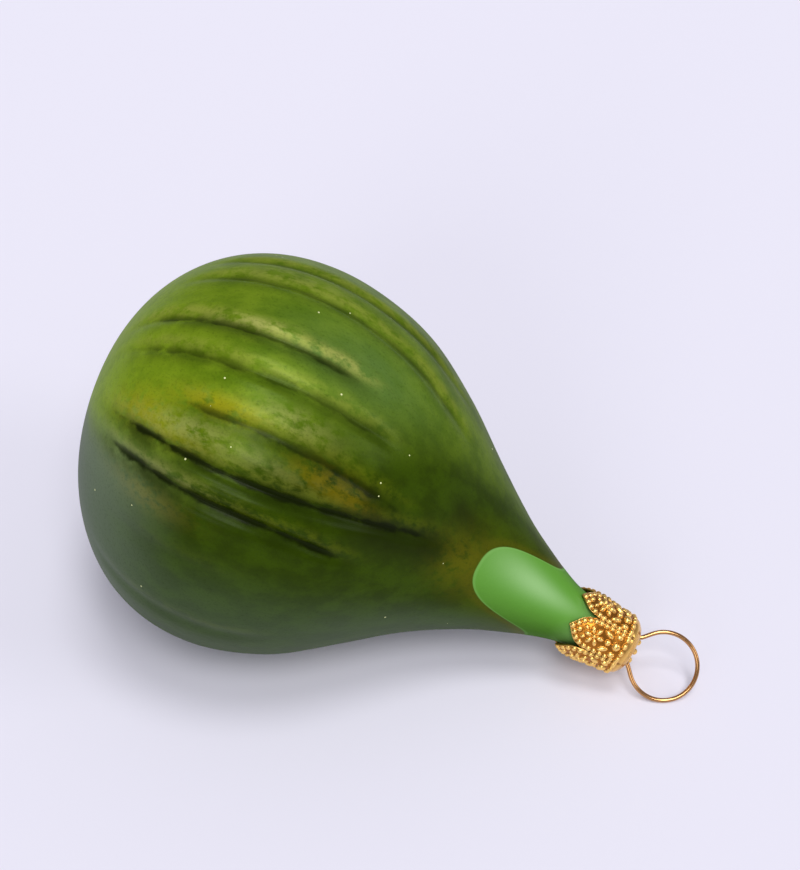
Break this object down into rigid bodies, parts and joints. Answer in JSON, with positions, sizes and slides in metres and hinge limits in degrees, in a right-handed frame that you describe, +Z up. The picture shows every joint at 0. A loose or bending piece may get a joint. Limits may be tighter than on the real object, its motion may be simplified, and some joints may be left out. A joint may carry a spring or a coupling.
{
  "type": "glass fig ornament",
  "caption": "Hollow blown-glass fig with a pale stem, a gilt leaf-petal cap and a sprung wire loop for hanging it; shown lying on its side.",
  "frame": {"origin": "middle of the bounding box's footprint, on the surface that the ornament lies on", "axes": "+X along the fig towards the hanging loop, +Z up from the surface, +Y to the left of +X"},
  "size_m": [0.0966, 0.0598, 0.0593],
  "materials": {
    "lacquered_glass": "blown glass, silvered inside and lacquered green outside, so it is opaque; the stem is painted pale green",
    "gilt_cap": "thin stamped sheet, bright gilt",
    "brass_wire": "drawn wire, bright, slightly rosy"
  },
  "bodies": {
    "root": {"glass_fig": "lacquered_glass", "petal_cap": "gilt_cap", "wire_hanger": "brass_wire"}
  },
  "joints": []
}
